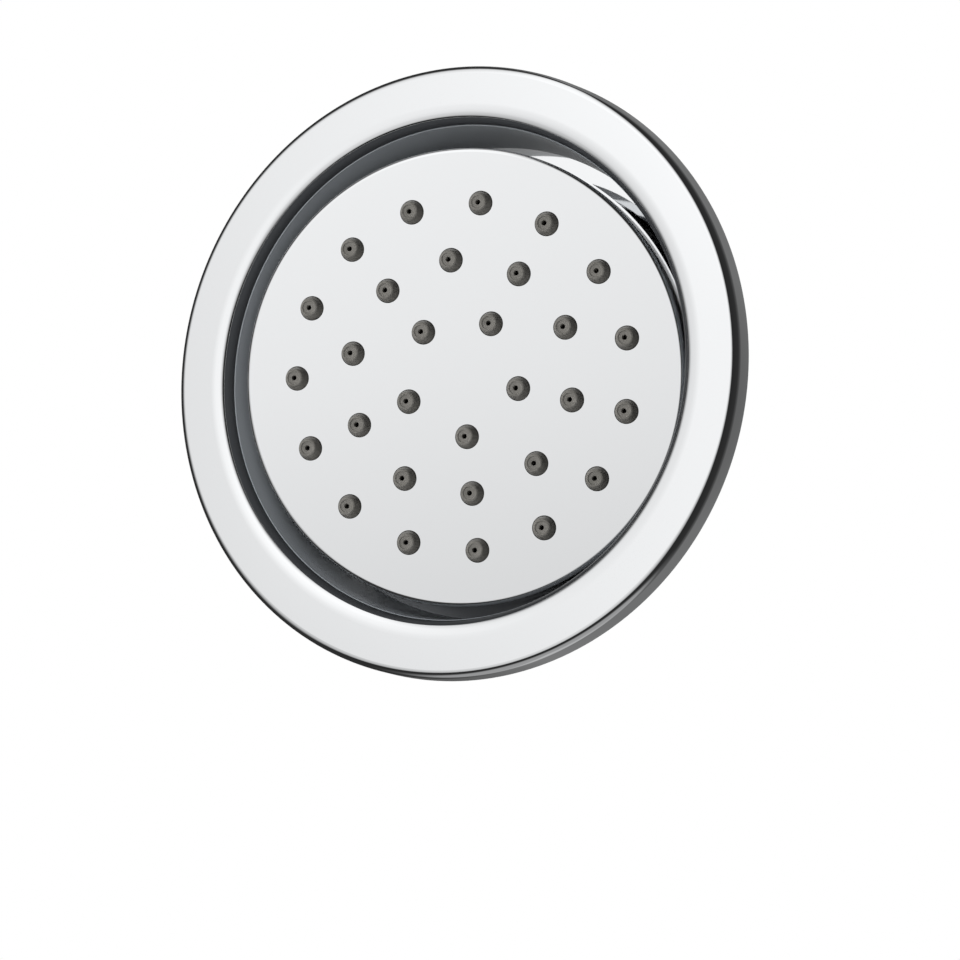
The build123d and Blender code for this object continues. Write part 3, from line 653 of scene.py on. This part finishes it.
melt = basket.modifiers.new("melt", "REMESH")
melt.mode = "VOXEL"
melt.voxel_size = carrier["voxel"] * mm
bpy.ops.object.modifier_apply(modifier=melt.name)
relax = basket.modifiers.new("relax", "SMOOTH")
relax.factor = carrier["relax"]
relax.iterations = carrier["relaxTimes"]
bpy.ops.object.modifier_apply(modifier=relax.name)
finishPiece(basket, "carrier", "fixed", castLook, carrier["smooth"])

# inlet strainer: a flanged cup with a pierced end
strainer = {"steps": 64, "holes": [(1.6, 6), (3.2, 12)], "holeRadius": 0.55, "holeSpan": (49, 52),
            "holeSides": 16, "corners": [
                (0, 50.775, 0), (5.2, 50.775, 0.4), (5.2, 45.775, 0.1), (7.4, 45.775, 0.15),
                (7.4, 44.775, 0.15), (4.4, 44.775, 0.1), (4.4, 49.975, 0.2), (0, 49.975, 0)]}
cup = turnPiece("inletStrainer", strainer["corners"], strainer["steps"])
cupHole = roundBar("cupHole", strainer["holeRadius"], *strainer["holeSpan"], strainer["holeSides"])
cutWith(cup, copyTo(cupHole, spotsOn(strainer["holes"])))
finishPiece(cup, "inlet_strainer", "fixed", steelLook)

# inner pieces keep their solids
solidLooks = {"trim_o_ring": rubberLook, "seat_o_ring": rubberLook, "restrictor_o_ring": rubberLook,
              "ball_seat": acetalLook, "slip_ring": acetalLook, "flow_restrictor": inletLook,
              "inlet_circlip": steelLook}
for name, look in solidLooks.items():
    nodes[name].data.materials.clear()
    nodes[name].data.materials.append(look)
print("body done")


# studio: pale floor, white background, a soft panel to the left that the chrome mirrors
studio = {"floorDepth": -0.35, "floorSize": 12, "floorGrey": (0.88, 0.88, 0.88), "floorWhite": 0.8,
          "domeRadius": 5.0, "worldFill": 0.15}


def makeFloor():
    deselectAll()
    bpy.ops.mesh.primitive_plane_add(size=studio["floorSize"], location=(0, 0, studio["floorDepth"]))
    floor = bpy.context.object
    floor.name = "studioFloor"
    look, tree, shader = newLook("paleFloor", 0, 0.7, studio["floorGrey"])
    white = tree.nodes.new("ShaderNodeEmission")
    path = tree.nodes.new("ShaderNodeLightPath")
    blend = tree.nodes.new("ShaderNodeMixShader")
    out = [node for node in tree.nodes if node.type == "OUTPUT_MATERIAL"][0]
    share = spread(tree, path.outputs["Is Camera Ray"], 0, studio["floorWhite"], 0, 1)
    tree.links.new(share, blend.inputs["Fac"])
    tree.links.new(shader.outputs["BSDF"], blend.inputs[1])  # the rest keeps the shadow
    tree.links.new(white.outputs["Emission"], blend.inputs[2])
    tree.links.new(blend.outputs["Shader"], out.inputs["Surface"])
    floor.data.materials.append(look)
    floor.visible_glossy = False  # the dome's lower half stands for it in the chrome


# what the chrome mirrors: (degrees, brightness), bearings right of straight out, heights above level
panelStops = [(-180, 0.0), (-75, 0.0), (-60, 0.3), (-45, 0.72), (-30, 0.83), (-21, 0.98), (-14, 1.0),
              (-5, 0.95), (8, 0.6), (18, 0.0), (180, 0.0)]  # the white panel's bearings
heightStops = [(-90, 0.0), (-31, 0.0), (-26, 0.5), (-18, 0.66), (-4, 0.74), (0, 0.86), (5, 0.95), (9, 0.98),
               (13, 1.04), (24, 1.08), (60, 1.0), (76, 0.8), (80, 0.0), (90, 0.0)]  # and its heights
roomStops = [(-180, 0.17), (-165, 0.2), (-153, 0.1), (-140, 0.03), (0, 0.02), (95, 0.03), (125, 0.07),
             (150, 0.12), (160, 0.17), (180, 0.17)]  # the dim room, by bearing
tableStops = [(-90, 0.32), (-62, 0.3), (-53, 0.04), (-46, 0.0), (90, 0.0)]  # pale table under the object


def greyRamp(tree, source, stops):  # first and last stop are the ends of the range
    ramp = tree.nodes.new("ShaderNodeValToRGB")
    first, last = stops[0][0], stops[-1][0]
    elements = ramp.color_ramp.elements
    elements[0].color = (*[stops[0][1]] * 3, 1)
    elements[1].color = (*[stops[-1][1]] * 3, 1)
    for degrees, grey in stops[1:-1]:
        elements.new((degrees - first) / (last - first)).color = (grey, grey, grey, 1)
    tree.links.new(source, ramp.inputs["Fac"])
    return ramp.outputs["Color"]


def makeDome():
    deselectAll()
    radius = studio["domeRadius"]
    bpy.ops.mesh.primitive_uv_sphere_add(segments=48, ring_count=24, radius=radius, location=(0, 0, 0))
    dome = bpy.context.object
    dome.name = "studioDome"
    look = bpy.data.materials.new("studioPanels")
    look.use_nodes = True
    tree = look.node_tree
    tree.nodes.clear()
    out = tree.nodes.new("ShaderNodeOutputMaterial")
    glow = tree.nodes.new("ShaderNodeEmission")
    place = axisParts(tree, (1, -1, 1))
    turn = spread(tree, mathNode(tree, "ARCTAN2", place["X"], place["Y"]), 0, 1, -pi, pi)
    rise = mathNode(tree, "ARCSINE", spread(tree, place["Z"], -1, 1, -radius, radius))
    height = spread(tree, rise, 0, 1, -pi / 2, pi / 2)
    light = mathNode(tree, "MULTIPLY", greyRamp(tree, turn, panelStops), greyRamp(tree, height, heightStops))
    light = mathNode(tree, "ADD", light, greyRamp(tree, turn, roomStops))
    light = mathNode(tree, "ADD", light, greyRamp(tree, height, tableStops))
    tree.links.new(light, glow.inputs["Strength"])
    tree.links.new(glow.outputs["Emission"], out.inputs["Surface"])
    dome.data.materials.append(look)
    dome.visible_camera = False  # only polished faces see it
    dome.visible_diffuse = False
    dome.visible_shadow = False
    dome.visible_transmission = False
    dome.visible_volume_scatter = False


def makeWorld():
    world = bpy.data.worlds.new("studioWorld")
    bpy.context.scene.world = world
    world.use_nodes = True
    tree = world.node_tree
    tree.nodes.clear()
    out = tree.nodes.new("ShaderNodeOutputWorld")
    seen = tree.nodes.new("ShaderNodeBackground")  # what the camera, metal and glass see
    seen.inputs["Color"].default_value = (1, 1, 1, 1)
    fill = tree.nodes.new("ShaderNodeBackground")
    fill.inputs["Color"].default_value = (1, 1, 1, 1)
    fill.inputs["Strength"].default_value = studio["worldFill"]
    path = tree.nodes.new("ShaderNodeLightPath")
    clear = path.outputs["Is Camera Ray"]
    for kind in ("Is Glossy Ray", "Is Transmission Ray"):
        clear = mathNode(tree, "MAXIMUM", clear, path.outputs[kind])
    mix = tree.nodes.new("ShaderNodeMixShader")
    tree.links.new(clear, mix.inputs["Fac"])
    tree.links.new(fill.outputs["Background"], mix.inputs[1])
    tree.links.new(seen.outputs["Background"], mix.inputs[2])
    tree.links.new(mix.outputs["Shader"], out.inputs["Surface"])


lampPlans = {"keyLamp": {"place": (-0.7, -1.0, 0.55), "turn": (66, 0, -35), "size": 0.8, "watts": 19.0},
             "sideLamp": {"place": (0.9, 0.6, 0.7), "turn": (57, 0, 124), "size": 0.8, "watts": 24.0},
             "boreLamp": {"place": (0.27, -0.57, -0.09), "turn": (97, 0, 25), "size": 0.2, "watts": 2.5},
             "lowLamp": {"place": (0.12, -0.55, 0.28), "turn": (64, 0, 12), "size": 0.2, "watts": 1.4}}


def makeLamp(name, plan):
    deselectAll()
    turn = [radians(angle) for angle in plan["turn"]]
    bpy.ops.object.light_add(type="AREA", location=plan["place"], rotation=turn)
    lamp = bpy.context.object
    lamp.name = name
    lamp.data.shape = "DISK"
    lamp.data.size = plan["size"]
    lamp.data.energy = plan["watts"]
    lamp.visible_glossy = False  # the panel stands for it in the chrome
    return lamp


photoCamera = {"place": (0.27479, -0.58112, -0.09873), "turn": (97.124, 0.053, 25.021), "lens": 142.7,
               "sensor": 36, "clipStart": 0.01}


def makeCamera():
    deselectAll()
    turn = [radians(angle) for angle in photoCamera["turn"]]
    bpy.ops.object.camera_add(location=photoCamera["place"], rotation=turn)
    camera = bpy.context.object
    camera.name = "photoCamera"
    camera.data.lens = photoCamera["lens"]
    camera.data.sensor_width = photoCamera["sensor"]
    camera.data.clip_start = photoCamera["clipStart"]
    bpy.context.scene.camera = camera


makeFloor()
makeDome()
makeWorld()
lamps = {name: makeLamp(name, plan) for name, plan in lampPlans.items()}
collarOnly = bpy.data.collections.new("collarOnly")  # two small lamps only reach into the ring
for piece in (ring, disc):
    collarOnly.objects.link(piece)
for name in ("boreLamp", "lowLamp"):
    lamps[name].light_linking.receiver_collection = collarOnly
notRing = bpy.data.collections.new("notRing")  # the key leaves the collar in shade
notRing.objects.link(ring)
notRing.collection_objects[0].light_linking.link_state = "EXCLUDE"
lamps["keyLamp"].light_linking.receiver_collection = notRing
makeCamera()
bpy.context.scene.view_settings.view_transform = "Standard"
print("studio ready")
